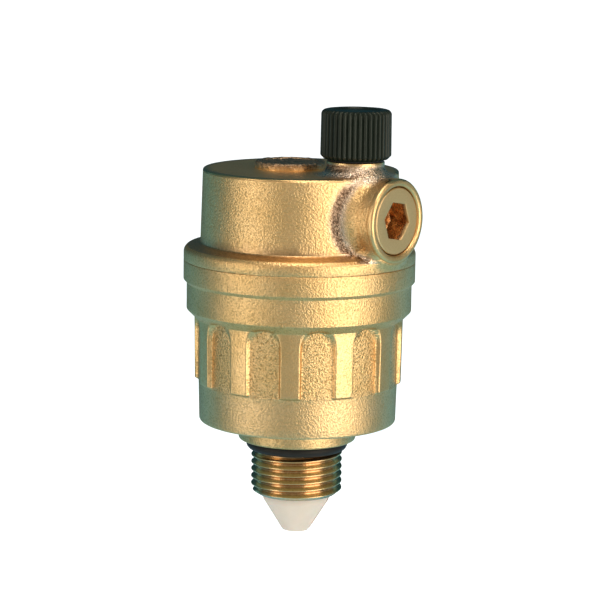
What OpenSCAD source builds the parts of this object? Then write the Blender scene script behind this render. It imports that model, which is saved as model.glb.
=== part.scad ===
// Automatic air vent: a brass housing with a screwed cover, an inlet spigot with
// a parallel pipe thread, a plugged side boss and a capped outlet nipple. Inside,
// a float works a bell-crank lever that closes the outlet orifice.
// Units are millimetres. The origin is on the housing's axis at the upper end of
// the inlet thread. +Z points up and +X points along the side boss.

/* [Inlet] */
// Radius over the crests of the inlet thread, G 3/8
thread_crest_r = 8.331; // [8.25:0.001:8.4]
// Depth of the inlet thread
thread_depth = 0.856; // [0.7:0.001:0.87]
// Pitch of the inlet thread
thread_pitch = 1.337; // [1.3:0.001:1.35]
// Number of full turns on the inlet thread
thread_turns = 6; // [4:1:6]
// Length of the spigot below the origin
spigot_l = 8.05; // [7.7:0.05:9]
// Radius of the bore through the inlet
inlet_bore_r = 6.35; // [6.25:0.05:6.4]
// Radius of the neck that carries the inlet O-ring
neck_r = 7.15; // [7.05:0.05:7.2]
// Height of the neck, from the origin up to the collar's seating face
neck_h = 2.2; // [2.2:0.05:2.6]
// Radius of the collar above the neck
collar_r = 10.7; // [10:0.1:12]
// Height of the collar
collar_h = 3.5; // [3:0.1:5]
// Section of the inlet O-ring
inlet_ring_d = 2.1; // [1.7:0.05:2.1]

/* [Body] */
// Radius of the lower body where it meets the ribs
lower_r = 18.1; // [18:0.05:18.2]
// Radius of the lower body at its bottom corner
bottom_r = 17.93; // [17.6:0.01:18]
// Radius over the smooth strips between the pockets
strip_r = 18.95; // [18.8:0.05:19.2]
// Radius of the plain band above the pockets
band_r = 20.4; // [20.2:0.1:20.6]
// Radius of the flange at the joint of body and cover
flange_r = 21; // [20.8:0.1:22]
// Height of the strips' lower end
strip_z = 12.8; // [12:0.1:13.5]
// Height of the strips' upper end, where the body widens to the band
strip_top_z = 24.8; // [24.5:0.1:25]
// Height of the band's upper edge
band_top_z = 31.05; // [30.8:0.05:31.2]
// Height of the joint between body and cover
seam_z = 35.2; // [35:0.1:35.6]
// Number of arched pockets round the body
pocket_count = 12; // [8:1:12]
// Width of one pocket
pocket_w = 6.6; // [5:0.05:6.8]
// Height of the top of a pocket's arch
pocket_top_z = 25.45; // [25:0.05:25.6]
// Direction of one pocket's centre, from +X
pocket_turn = 20; // [0:1:29]
// Radius of the float chamber
chamber_r = 15.6; // [15.4:0.05:15.8]
// Height of the float chamber's floor
floor_z = 8.6; // [8.4:0.1:8.8]

/* [Cover] */
// Radius of the cover at its foot
cover_foot_r = 18; // [17.9:0.05:18.2]
// Radius of the cover at its top
cover_top_r = 17.65; // [17.65:0.05:17.9]
// Height of the cover's flat top
cover_top_z = 51.7; // [51.2:0.1:52]
// Height of the ceiling inside the cover
ceiling_z = 48.9; // [48.6:0.1:49]
// Height of the side boss's axis
boss_z = 44.3; // [44.1:0.1:44.5]
// Radius of the side boss
boss_r = 7.5; // [7.3:0.1:7.6]
// Distance from the axis to the side boss's face
boss_x = 22.2; // [21.8:0.05:22.6]
// Distance from the axis to the outlet nipple
nipple_x = 12.45; // [12.3:0.05:12.45]
// Radius of the nipple's shoulder
nipple_r = 5.15; // [5.05:0.05:5.15]
// Height of the nipple's shoulder
shoulder_z = 54.2; // [53.9:0.1:54.6]
// Radius over the nipple's thread
outlet_r = 3.95; // [3.9:0.01:3.95]
// Height of the nipple's top
outlet_top_z = 60.8; // [60.6:0.1:61]
// Radius of the air passage up the nipple
outlet_bore_r = 1.6; // [1.2:0.1:1.7]
// Radius of the round pad on the cover's top
pad_r = 6.45; // [5:0.05:6.8]

/* [Plug] */
// Radius of the bore that takes the side plug
plug_bore_r = 5.65; // [5.65:0.01:5.7]
// Radius of the boss's mouth
mouth_r = 6.1; // [6.1:0.01:6.2]
// Radius of the side plug
plug_r = 5.58; // [5.5:0.01:5.6]
// Width across flats of the plug's hexagon socket
hex_af = 6.35; // [5:0.05:6.6]
// Turn of the hexagon about the plug's axis
hex_turn = 20; // [0:1:59]

/* [Cap] */
// Radius over the ridges of the cap
cap_r = 6.3; // [6.2:0.05:6.6]
// Number of ridges round the cap
cap_ridges = 40; // [24:2:48]
// Height of the cap's top
cap_top_z = 63.3; // [62.8:0.1:63.4]
// Pitch of the outlet thread, which the cap climbs per turn
cap_pitch = 1; // [0.9:0.05:1]

/* [Float] */
// Radius of the float
float_r = 14.6; // [14:0.1:14.8]
// Height of the float's top when it rests on the floor
float_top_z = 28.3; // [26:0.1:28.4]
// Rise of the float from the floor until the outlet closes
float_travel = 4; // [3:0.1:4]
// Radius of the float's tail, which slides in the inlet bore
tail_r = 6.15; // [5.9:0.05:6.15]
// Height of the tail's tip, below the origin
tail_tip_z = -15; // [-15.2:0.1:-14.5]
// Radius of the tail's tip
tail_tip_r = 2.5; // [1.5:0.05:3]

/* [Valve] */
// Distance of the lever's pivot from the axis
pivot_x = 4.8; // [4.6:0.1:4.9]
// Drop of the lever's pivot below the orifice
pad_arm = 2; // [1.8:0.1:2.2]
// Length of the lever's float arm
float_arm = 11; // [10:0.1:11.5]
// Radius of the orifice in the valve seat
orifice_r = 0.4; // [0.3:0.05:0.8]

/* [Hidden] */
$fn = 96;

BRASS = [0.80, 0.66, 0.38];
RAW_BRASS = [0.72, 0.55, 0.30];
STEEL = [0.68, 0.69, 0.70];
RUBBER = [0.08, 0.08, 0.08];
WHITE_PLASTIC = [0.93, 0.93, 0.90];
BLACK_PLASTIC = [0.10, 0.11, 0.11];
FIBRE = [0.55, 0.25, 0.16];

gap = 0.02;                       // between pieces that touch
run = 0.05;                       // running clearance on a radius
over = 1;                         // how far a cutter passes a face

// inlet thread: 55 degree flanks, with flat crests and roots of equal width
thread_root_r = thread_crest_r - thread_depth;
thread_flank = thread_depth * tan(27.5);
thread_land = (thread_pitch - 2 * thread_flank) / 2;
thread_start_z = -0.04;           // upper edge of the first crest
spigot_tip_r = 7.2;
spigot_chamfer = 0.3;
neck_foot_z = 0.5;

// body
collar_z = neck_h;
bottom_z = collar_z + collar_h;
ring_seat_r = 9.3;                // shallow recess in the collar over the O-ring
ring_seat_z = collar_z + 0.15;
corner = 0.4;                     // radius of the body's bottom corner
strip_chamfer = 0.4;
strip_taper = 0.15;
band_chamfer = band_r - strip_r;
flange_slope_h = 0.75;            // height of the slope from band to flange
pocket_floor_r = lower_r;
bore_r = 18;                      // bore that takes the cover's skirt
bore_z = 26.8;
groove_r = 19.4;                  // step that holds the cover seal
groove_h = 1.4;

// cover
skirt_r = bore_r - run;
skirt_z = bore_z + 1;
skirt_chamfer = 0.35;
flange_top_z = 37.5;
flange_round = 1.25;
ledge_z = 38.4;                   // where the flange's sloping top meets the cover
cover_round = 0.35;
cover_inner_r = 15.4;
root = 1;                         // how far a raised shape reaches into the wall
inner_boss_r = 6.5;
inner_boss_x = 8;
boss_root_x = 12;
boss_round = 0.7;
pad_h = 1.45;
pad_x = -2.6;
passage_r = 2.45;
plug_bore_x = 15.4;
mouth_x = boss_x - 2.35;
gasket_r = 3.3;
gasket_h = 0.9;
outlet_land = 0.2;
outlet_depth = 0.5;
outlet_turns = 5;
outlet_first_z = 59.9;            // centre of the nipple's uppermost thread crest
vent_slot_w = 1.2;
vent_slot_d = 0.9;

// plug
plug_back_x = 15.7;
plug_face_x = boss_x - 0.3;
plug_groove_x = mouth_x + 0.25;
plug_groove_w = 1.1;
plug_groove_r = 5.05;
plug_edge = 0.35;
plug_head_r = mouth_r - 0.18;     // the plug is wider in front of its O-ring
plug_head_edge = 0.15;
hex_depth = 4.2;
plug_ring_d = 1;

// cap
cap_valley_r = cap_r - 0.4;
cap_round = 1.2;
cap_bore_r = outlet_r + run;
cap_roof_z = outlet_top_z + 0.8;
cap_recess_r = 4.3;
cap_recess_h = 0.3;
washer_r = 5;
washer_h = 0.35;
cap_z = shoulder_z + washer_h + run;
liner_r = 3.6;

// float
float_z = floor_z + 0.6;          // underside of the float
foot_h = 0.55;
foot_r = 1;
foot_ring_r = 11;
float_disc_h = 1;
float_wall = 1;
float_roof = 1.2;
float_round = 1;
weld_ring_h = 1;
tail_shoulder_z = -8.8;
tail_cone_r = 6;
tail_cone_z = -9.3;
flute_w = 1.5;
flute_depth = 1.5;
flute_turn = 24;                  // direction of one flute, from +X

// valve: the lever is drawn closed and turned back by its swing to rest
pivot_z = boss_z - pad_arm;
swing = 2 * asin(float_travel / 2 / float_arm);
seat_x = 6.7;                     // face of the valve seat
seat_flange_r = 2.8;
seat_flange_h = 0.7;
seat_shank_r = 2.4;
seat_shank_x = 10.6;
valve_disc_r = 1.3;
valve_disc_h = 0.9;
lever_hub_r = 1.45;
lever_hub_w = 5.4;
lever_t = 1.6;
upright_t = 1.3;
upright_w = 3.4;
pad_cup = 0.3;                    // how deep the valve disc sits in the lever
pivot_pin_r = 0.6;
pivot_pin_l = 8.2;
small_pin_r = 0.5;
small_pin_l = 3.2;
ear_in = 2.9;                     // inner face of the bracket's ears, from the middle
ear_t = 0.6;
ear_r = 1.4;
plate_t = 0.6;
clip_r = 1.3;
clip_t = 0.4;
fork_in = 0.6;
fork_out = 1.4;
fork_r = 1.2;
fork_l = 1.5;
link_t = 0.8;
link_w = 1.8;
link_r = 1.4;                     // round the lower eye
link_eye_r = 1.1;                 // round the upper eye
link_hole_r = 0.56;
eye_play = 0.25;                  // sideways play in the link's lower eye
arm_end_x = pivot_x - float_arm * cos(swing / 2);
arm_end_z = pivot_z - float_travel / 2;
eye_x = (arm_end_x + pivot_x - float_arm) / 2;
eye_z = 30.6;

// points on an arc in the plane of a turned outline
function arc(cx, cz, r, from, to, steps = 5) =
    [for (i = [0:steps]) let (a = from + (to - from) * i / steps)
        [cx + r * cos(a), cz + r * sin(a)]];

// the outline of one thread ridge, from below
function ridge(zc, crest, depth, land, flank) = [
    [crest - depth, zc - land / 2 - flank],
    [crest, zc - land / 2],
    [crest, zc + land / 2],
    [crest - depth, zc + land / 2 + flank]];

function inlet_ridges() =
    [for (i = [thread_turns - 1:-1:0])
        let (zc = thread_start_z - thread_land / 2 - i * thread_pitch)
        each ridge(zc, thread_crest_r, thread_depth, thread_land, thread_flank)];

function outlet_ridges() =
    [for (i = [outlet_turns - 1:-1:0])
        each ridge(outlet_first_z - i * cap_pitch, outlet_r, outlet_depth,
            outlet_land, outlet_depth * tan(30))];

// a cylinder along +X from x0 to x1
module x_rod(r, x0, x1) {
    translate([x0, 0, 0]) rotate([0, 90, 0]) cylinder(r = r, h = x1 - x0);
}

// a cylinder along Y, centred on the XZ plane
module y_rod(r, l) {
    rotate([90, 0, 0]) cylinder(r = r, h = l, center = true);
}

// a box given by its two corners
module span(low, high) {
    translate(low) cube(high - low);
}

module torus(ring_r, section_d) {
    rotate_extrude() translate([ring_r, 0]) circle(d = section_d);
}

// one arched pocket, as the space it takes out of the body along +X
module pocket_space() {
    arch_r = pocket_w / 2;
    low_z = strip_z - over;
    ring_h = pocket_top_z - low_z + 2 * over;
    intersection() {
        rotate([90, 0, 90]) linear_extrude(height = 2 * strip_r) {
            translate([0, pocket_top_z - arch_r]) circle(r = arch_r);
            translate([-arch_r, low_z]) square([pocket_w, pocket_top_z - arch_r - low_z]);
        }
        difference() {
            translate([0, 0, low_z - over]) cylinder(r = band_r + over, h = ring_h);
            translate([0, 0, low_z - 2 * over])
                cylinder(r = pocket_floor_r, h = ring_h + 2 * over);
        }
    }
}

module body_outline() {
    polygon(concat(
        [[inlet_bore_r, -spigot_l],
         [spigot_tip_r, -spigot_l],
         [thread_root_r, spigot_chamfer - spigot_l]],
        inlet_ridges(),
        [[neck_r, neck_foot_z],
         [neck_r, ring_seat_z],
         [ring_seat_r, ring_seat_z],
         [ring_seat_r, collar_z],
         [collar_r, collar_z],
         [collar_r, bottom_z]],
        arc(bottom_r - corner, bottom_z + corner, corner, -90, 0),
        [[lower_r, strip_z],
         [strip_r - strip_taper, strip_z + strip_chamfer],
         [strip_r, strip_top_z],
         [band_r, strip_top_z + band_chamfer],
         [band_r, band_top_z],
         [flange_r, band_top_z + flange_slope_h],
         [flange_r, seam_z],
         [groove_r, seam_z],
         [groove_r, seam_z - groove_h],
         [bore_r, seam_z - groove_h],
         [bore_r, bore_z],
         [chamber_r, bore_z],
         [chamber_r, floor_z],
         [inlet_bore_r, floor_z]]));
}

module body() {
    color(BRASS) difference() {
        rotate_extrude() body_outline();
        for (i = [0:pocket_count - 1])
            rotate([0, 0, pocket_turn + i * 360 / pocket_count]) pocket_space();
    }
}

module cover_outline() {
    polygon(concat(
        [[cover_inner_r, ceiling_z],
         [cover_inner_r, skirt_z],
         [skirt_r - skirt_chamfer, skirt_z],
         [skirt_r, skirt_z + skirt_chamfer],
         [skirt_r, seam_z],
         [flange_r, seam_z]],
        arc(flange_r - flange_round, flange_top_z - flange_round, flange_round, 0, 80),
        [[cover_foot_r, ledge_z]],
        arc(cover_top_r - cover_round, cover_top_z - cover_round, cover_round, 0, 90),
        [[0, cover_top_z],
         [0, ceiling_z]]));
}

// the nipple above its shoulder, with its thread
module nipple_outline() {
    polygon(concat(
        [[0, ceiling_z],
         [nipple_r, ceiling_z],
         [nipple_r, shoulder_z],
         [outlet_r - outlet_depth, shoulder_z]],
        outlet_ridges(),
        [[outlet_r - outlet_depth, outlet_top_z],
         [0, outlet_top_z]]));
}

// the boss outside the cover, turned about +X
module boss_outline() {
    polygon(concat(
        [[0, boss_root_x],
         [boss_r, boss_root_x]],
        arc(boss_r - boss_round, boss_x - boss_round, boss_round, 0, 90),
        [[0, boss_x]]));
}

module cover() {
    color(BRASS) difference() {
        union() {
            rotate_extrude() cover_outline();
            intersection() {
                translate([0, 0, boss_z]) union() {
                    rotate([0, 90, 0]) rotate_extrude() boss_outline();
                    x_rod(inner_boss_r, inner_boss_x, boss_root_x + root);
                }
                union() {
                    // inside the chamber the boss is slimmer
                    translate([cover_inner_r + gap, -flange_r, 0])
                        cube([flange_r, 2 * flange_r, 2 * boss_z]);
                    translate([0, 0, boss_z]) x_rod(inner_boss_r, 0, flange_r);
                }
            }
            translate([nipple_x, 0, 0]) rotate_extrude() nipple_outline();
            translate([pad_x, 0, cover_top_z - root]) cylinder(r = pad_r, h = pad_h + root);
        }
        translate([0, 0, boss_z]) {
            x_rod(passage_r, inner_boss_x - over, plug_bore_x + over);
            x_rod(gasket_r, inner_boss_x - over, inner_boss_x + gasket_h);
            x_rod(plug_bore_r, plug_bore_x, boss_x + over);
            x_rod(mouth_r, mouth_x, boss_x + over);
        }
        translate([nipple_x, 0, boss_z])
            cylinder(r = outlet_bore_r, h = outlet_top_z - boss_z + over);
        // slot down the nipple's thread that lets the air past a loosened cap
        span([nipple_x - outlet_r - over, -vent_slot_w / 2, shoulder_z + washer_h],
            [nipple_x - outlet_r + vent_slot_d, vent_slot_w / 2, outlet_top_z + over]);
    }
}

module cover_seal() {
    color(RUBBER) translate([0, 0, seam_z - groove_h / 2])
        torus((skirt_r + groove_r) / 2, groove_h - 2 * gap);
}

module inlet_o_ring() {
    color(RUBBER) translate([0, 0, ring_seat_z - gap - inlet_ring_d / 2])
        torus(neck_r + gap + inlet_ring_d / 2, inlet_ring_d);
}

// the float's closed upper shell, with the two lugs that hold the link
module float_bell() {
    foot = float_z + float_disc_h;
    inner_r = float_r - float_wall;
    color(WHITE_PLASTIC) difference() {
        union() {
            rotate_extrude() polygon(concat(
                [[inner_r, foot],
                 [float_r, foot]],
                arc(float_r - float_round, float_top_z - float_round, float_round, 0, 90),
                [[0, float_top_z],
                 [0, float_top_z - float_roof],
                 [inner_r, float_top_z - float_roof]]));
            for (side = [-1, 1]) lug(side);
        }
        translate([eye_x, 0, eye_z]) y_rod(small_pin_r + gap, small_pin_l + over);
    }
}

module lug(side) {
    middle = side * (fork_in + fork_out) / 2;
    width = fork_out - fork_in;
    translate([eye_x, middle, eye_z]) y_rod(fork_r, width);
    translate([eye_x - fork_r, middle - width / 2, float_top_z - float_roof / 2])
        cube([2 * fork_r, width, eye_z - float_top_z + float_roof / 2]);
}

// the float's bottom disc and the fluted tail that guides it in the inlet
module float_tail() {
    disc_top = float_z + float_disc_h;
    ring_r = float_r - float_wall - run;
    color(WHITE_PLASTIC) difference() {
        union() {
            rotate_extrude() polygon([
                [0, tail_tip_z],
                [tail_tip_r, tail_tip_z],
                [tail_cone_r, tail_cone_z],
                [tail_r, tail_shoulder_z],
                [tail_r, float_z],
                [float_r, float_z],
                [float_r, disc_top],
                [ring_r, disc_top],
                [ring_r, disc_top + weld_ring_h],
                [ring_r - float_wall, disc_top + weld_ring_h],
                [ring_r - float_wall, disc_top],
                [0, disc_top]]);
            for (a = [0, 120, 240])
                rotate([0, 0, a]) translate([foot_ring_r, 0, float_z - foot_h])
                    cylinder(r = foot_r, h = foot_h + float_disc_h / 2);
        }
        for (side = [0, 180])
            rotate([0, 0, flute_turn + side]) flute_space();
    }
}

// one flute, which follows the side of the tail and its cone
module flute_space() {
    rotate([90, 0, 0]) translate([0, 0, -flute_w / 2])
        linear_extrude(height = flute_w) polygon([
            [tail_r - flute_depth, float_z - gap],
            [tail_r - flute_depth, tail_shoulder_z],
            [tail_cone_r - flute_depth, tail_cone_z],
            [tail_tip_r - flute_depth, tail_tip_z - over],
            [tail_r + over, tail_tip_z - over],
            [tail_r + over, float_z - gap]]);
}

module float_pin() {
    color(STEEL) translate([eye_x, 0, eye_z]) y_rod(small_pin_r, small_pin_l);
}

// flat link from the lever's end down to the float
module float_link() {
    color(STEEL) difference() {
        union() {
            translate([arm_end_x, 0, arm_end_z]) y_rod(link_eye_r, link_t);
            translate([arm_end_x, 0, eye_z]) y_rod(link_r, link_t);
            span([arm_end_x - link_w / 2, -link_t / 2, eye_z],
                [arm_end_x + link_w / 2, link_t / 2, arm_end_z]);
        }
        translate([arm_end_x, 0, arm_end_z]) y_rod(link_hole_r, link_t + over);
        translate([arm_end_x, 0, eye_z]) {
            for (side = [-1, 1])
                translate([side * eye_play, 0, 0]) y_rod(link_hole_r, link_t + over);
            cube([2 * eye_play, link_t + over, 2 * link_hole_r], center = true);
        }
    }
}

// moves a part drawn round the pivot, in the closed position, to its rest position
module at_rest() {
    translate([pivot_x, 0, pivot_z]) rotate([0, -swing, 0]) children();
}

// the lever's float arm, drawn along -X from the pivot
module float_arm_shape() {
    beam_l = float_arm - fork_l;
    translate([-beam_l, -fork_out, -lever_t / 2]) cube([beam_l, 2 * fork_out, lever_t]);
    for (side = [-1, 1]) {
        middle = side * (fork_in + fork_out) / 2;
        width = fork_out - fork_in;
        translate([-float_arm, middle, 0]) y_rod(fork_r, width);
        translate([-float_arm, middle - width / 2, -lever_t / 2])
            cube([fork_l + gap, width, lever_t]);
    }
}

module lever() {
    seat_gap = seat_x - pivot_x;
    arm_x = seat_gap - gap - valve_disc_h;
    color(STEEL) at_rest() difference() {
        union() {
            y_rod(lever_hub_r, lever_hub_w);
            translate([arm_x + pad_cup - upright_t, -upright_w / 2, 0])
                cube([upright_t, upright_w, pad_arm + upright_w / 2]);
            rotate([0, swing / 2, 0]) float_arm_shape();
        }
        y_rod(pivot_pin_r + run, lever_hub_w + over);
        translate([0, 0, pad_arm]) x_rod(valve_disc_r + gap, arm_x, arm_x + over);
        rotate([0, swing / 2, 0]) translate([-float_arm, 0, 0])
            y_rod(small_pin_r + gap, small_pin_l + over);
    }
}

module lever_pin() {
    color(STEEL) translate([arm_end_x, 0, arm_end_z]) y_rod(small_pin_r, small_pin_l);
}

// soft disc in the lever that closes the orifice
module valve_pad() {
    face_x = seat_x - pivot_x - gap;
    color(RUBBER) at_rest() translate([0, 0, pad_arm])
        x_rod(valve_disc_r, face_x - valve_disc_h, face_x);
}

module pivot_pin() {
    color(STEEL) translate([pivot_x, 0, pivot_z]) y_rod(pivot_pin_r, pivot_pin_l);
}

module pin_clips() {
    color(STEEL) for (side = [-1, 1])
        translate([pivot_x, side * (ear_in + ear_t + run + clip_t / 2), pivot_z])
            difference() {
                y_rod(clip_r, clip_t);
                y_rod(pivot_pin_r + gap, clip_t + over);
            }
}

// folded plate behind the valve seat, with an ear at each end of the pivot pin
module pivot_bracket() {
    back_x = inner_boss_x;
    front_x = back_x - plate_t;
    ear_out = ear_in + ear_t;
    color(STEEL) difference() {
        union() {
            span([front_x, -ear_out, pivot_z - ear_r],
                [back_x, ear_out, boss_z + seat_flange_r]);
            for (side = [-1, 1])
                translate([pivot_x, side * (ear_in + ear_t / 2), pivot_z]) {
                    y_rod(ear_r, ear_t);
                    translate([0, -ear_t / 2, -ear_r])
                        cube([back_x - pivot_x, ear_t, 2 * ear_r]);
                }
        }
        translate([pivot_x, 0, pivot_z]) y_rod(pivot_pin_r + gap, pivot_pin_l + over);
        translate([0, 0, boss_z]) x_rod(passage_r, front_x - over, back_x + over);
    }
}

// nozzle that clamps the bracket to the inner boss
module valve_seat() {
    color(BRASS) translate([0, 0, boss_z]) difference() {
        union() {
            x_rod(seat_flange_r, seat_x, seat_x + seat_flange_h);
            x_rod(seat_shank_r, seat_x, seat_shank_x);
        }
        x_rod(orifice_r, seat_x - over, seat_shank_x + over);
        x_rod(2 * orifice_r, seat_x + 2, seat_shank_x + over);
    }
}

module seat_gasket() {
    color(FIBRE) translate([0, 0, boss_z]) difference() {
        x_rod(gasket_r - gap, inner_boss_x, inner_boss_x + gasket_h);
        x_rod(passage_r, inner_boss_x - over, inner_boss_x + gasket_h + over);
    }
}

// a hexagonal space along +X
module hex_socket() {
    rotate([hex_turn, 0, 0]) translate([plug_face_x - hex_depth, 0, 0]) rotate([0, 90, 0])
        cylinder(r = hex_af / 2 / cos(30), h = hex_depth + over, $fn = 6);
}

module side_plug() {
    groove_end = plug_groove_x + plug_groove_w;
    color(RAW_BRASS) translate([0, 0, boss_z]) difference() {
        rotate([0, 90, 0]) rotate_extrude() polygon([
            [0, plug_back_x],
            [plug_r - plug_edge, plug_back_x],
            [plug_r, plug_back_x + plug_edge],
            [plug_r, plug_groove_x],
            [plug_groove_r, plug_groove_x],
            [plug_groove_r, groove_end],
            [plug_head_r, groove_end],
            [plug_head_r, plug_face_x - plug_head_edge],
            [plug_head_r - plug_head_edge, plug_face_x],
            [0, plug_face_x]]);
        hex_socket();
    }
}

module plug_o_ring() {
    color(RUBBER) translate([plug_groove_x + plug_groove_w / 2, 0, boss_z])
        rotate([0, 90, 0]) torus(plug_groove_r + gap + plug_ring_d / 2, plug_ring_d);
}

// ridged grip of the cap
function ridge_points() =
    [for (i = [0:2 * cap_ridges - 1])
        let (a = i * 180 / cap_ridges, r = i % 2 == 0 ? cap_r : cap_valley_r)
        [r * cos(a), r * sin(a)]];

module vent_cap() {
    grip_top = cap_top_z - cap_round;
    dome_r = cap_valley_r - gap;
    color(BLACK_PLASTIC) translate([nipple_x, 0, 0]) difference() {
        union() {
            translate([0, 0, cap_z]) linear_extrude(height = grip_top - cap_z)
                polygon(ridge_points());
            rotate_extrude() polygon(concat(
                [[0, grip_top - over],
                 [dome_r, grip_top - over]],
                arc(dome_r - cap_round, grip_top, cap_round, 0, 90),
                [[cap_recess_r, cap_top_z],
                 [cap_recess_r, cap_top_z - cap_recess_h],
                 [0, cap_top_z - cap_recess_h]]));
        }
        translate([0, 0, cap_z - over]) cylinder(r = cap_bore_r, h = cap_roof_z - cap_z + over);
    }
}

// soft disc in the cap that lands on the nipple
module cap_liner() {
    color(RUBBER) translate([nipple_x, 0, outlet_top_z + run])
        cylinder(r = liner_r, h = cap_roof_z - outlet_top_z - 2 * run);
}

module cap_washer() {
    color(RUBBER) translate([nipple_x, 0, shoulder_z]) difference() {
        cylinder(r = washer_r, h = washer_h);
        translate([0, 0, -over]) cylinder(r = outlet_r + 2 * run, h = washer_h + 2 * over);
    }
}

body();
cover();
cover_seal();
inlet_o_ring();
float_bell();
float_tail();
float_pin();
float_link();
lever();
lever_pin();
valve_pad();
pivot_pin();
pin_clips();
pivot_bracket();
valve_seat();
seat_gasket();
side_plug();
plug_o_ring();
vent_cap();
cap_liner();
cap_washer();
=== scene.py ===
"""Looks of the automatic air vent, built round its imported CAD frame.

Lengths are in millimetres until a mesh is made. The frame's own boxes give the
levels and radii that the shapes start from. +Z is up and +X is the side boss.
"""

import math

import bpy
import numpy as np
from mathutils import Euler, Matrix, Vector


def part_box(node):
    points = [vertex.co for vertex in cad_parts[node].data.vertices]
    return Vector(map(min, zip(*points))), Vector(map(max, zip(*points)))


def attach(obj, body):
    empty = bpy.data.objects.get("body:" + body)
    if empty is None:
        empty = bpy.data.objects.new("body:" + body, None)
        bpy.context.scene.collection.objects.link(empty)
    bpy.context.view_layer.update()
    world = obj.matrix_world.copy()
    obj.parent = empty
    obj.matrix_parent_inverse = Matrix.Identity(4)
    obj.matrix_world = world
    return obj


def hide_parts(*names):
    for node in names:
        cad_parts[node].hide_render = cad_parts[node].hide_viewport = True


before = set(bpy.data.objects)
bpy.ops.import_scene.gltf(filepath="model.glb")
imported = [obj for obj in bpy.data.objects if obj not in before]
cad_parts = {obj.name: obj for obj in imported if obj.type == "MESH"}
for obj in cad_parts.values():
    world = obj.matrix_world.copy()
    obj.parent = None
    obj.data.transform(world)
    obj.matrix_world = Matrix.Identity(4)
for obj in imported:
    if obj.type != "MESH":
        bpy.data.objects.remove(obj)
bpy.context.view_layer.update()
MM = 0.001


# ------------ dimensions

def box_mm(node):
    low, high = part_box(node)
    return np.array(low) / MM, np.array(high) / MM


body_low, body_high = box_mm("body")
cover_low, cover_high = box_mm("cover")
cap_low, cap_high = box_mm("vent_cap")
tail_low, _ = box_mm("float_tail")
bell_low, bell_high = box_mm("float_bell")
plug_low, plug_high = box_mm("side_plug")
ring_low, ring_high = box_mm("inlet_o_ring")
washer_low, washer_high = box_mm("cap_washer")
plug_ring_low, plug_ring_high = box_mm("plug_o_ring")
seat_low, seat_high = box_mm("valve_seat")

FLANGE_R = body_high[0]  # both flanges
SEAM_Z = body_high[2]  # where body and cover meet
SPIGOT_Z = body_low[2]
BOSS_X = cover_high[0]  # face of the side boss
BOSS_Z = (seat_low[2] + seat_high[2]) / 2
NIPPLE_X = (cap_low[0] + cap_high[0]) / 2
OUTLET_Z = cover_high[2]  # top of the nipple
SKIRT_Z = cover_low[2]

# inlet thread, G 3/8
THREAD_CREST_R = 8.331
THREAD_DEPTH = 0.856
THREAD_PITCH = 1.337
THREAD_START = -0.48  # height of a crest in the +X direction
THREAD_TOP = 0.75
THREAD_RUN_OUT = 0.45
SPIGOT_TIP_R = 7.2
SPIGOT_CHAMFER = 0.75  # along the axis
BORE_R = 6.35
NECK_R = 7.15

# body
COLLAR_R = 10.7
COLLAR_Z = 2.2
RING_SEAT_R = 9.3  # the collar is recessed here for the O-ring
CHAMBER_R = 15.6
FLOOR_Z = 8.6
SKIRT_BORE_R = 18.0  # takes the cover's skirt
SKIRT_BORE_Z = 26.8
SEAL_BORE_R = 19.4  # takes the cover's seal
SEAL_BORE_Z = SEAM_Z - 1.4
BOTTOM_Z = 5.7
LOWER_R = 18.1
BOTTOM_R = 17.93
STRIP_R = 18.95
STRIP_Z = 12.8
STRIP_TOP_Z = 24.8
BAND_R = FLANGE_R - 0.6
BAND_Z = STRIP_TOP_Z + 1.45
BAND_TOP_Z = 31.05
POCKETS = 12
POCKET_TURN = math.radians(20)
POCKET_HALF_W = 3.3
POCKET_TOP_Z = 25.45
POCKET_WALL = 0.5

# cover
COVER_FLANGE_Z = 37.6
COVER_FOOT_R = 18.0
COVER_FOOT_Z = 38.35
COVER_TOP_R = 17.65
COVER_TOP_Z = 51.7
SKIRT_R = 17.95
CEILING_R = 15.4
CEILING_Z = 48.9
BOSS_R = 7.5
BOSS_INNER_R = 6.5  # the boss is slimmer inside the chamber
BOSS_INNER_X = 8.0
MOUTH_R = 6.1
MOUTH_X = BOSS_X - 2.35  # foot of the boss's mouth
PLUG_BORE_R = 5.65
PLUG_BORE_X = 15.4
NIPPLE_R = 5.15
SHOULDER_Z = washer_low[2]
OUTLET_R = 3.95
OUTLET_BORE_R = 1.6
PAD_R = 6.45
PAD_X = -2.6
PAD_Z = COVER_TOP_Z + 1.45
SEAT_BORE_R = 2.45  # takes the nozzle
SEAT_BORE_X = 7.0
NIPPLE_ROOT_R = 3.0  # of the turned end, inside the casting
LUMP_HEIGHT = 0.09  # of the cast lumps in fillets and on the pad

FULL_TURN = 2 * math.pi


# ------------ shape tools

def smooth(t):
    t = np.clip(t, 0, 1)
    return t * t * (3 - 2 * t)


def lattice(ix, iy, iz, seed):
    """A repeatable number from 0 to 1 for each whole-number point."""
    h = (ix * 374761393 + iy * 668265263 + iz * 2147483647 + seed * 1274126177) & 0xFFFFFFFF
    h = ((h ^ (h >> 13)) * 1274126177) & 0xFFFFFFFF
    return ((h ^ (h >> 16)) & 0xFFFF) / 65535.0


def noise(points, size, seed=0):
    """Smooth noise from -1 to 1 with lumps about size millimetres across."""
    p = points / size
    base = np.floor(p).astype(np.int64)
    f = smooth(p - base)
    total = 0
    for corner in np.ndindex(2, 2, 2):
        near = np.where(corner, f, 1 - f)
        share = near[..., 0] * near[..., 1] * near[..., 2]
        total = total + share * lattice(*np.moveaxis(base + corner, -1, 0), seed)
    return 2 * total - 1


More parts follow.
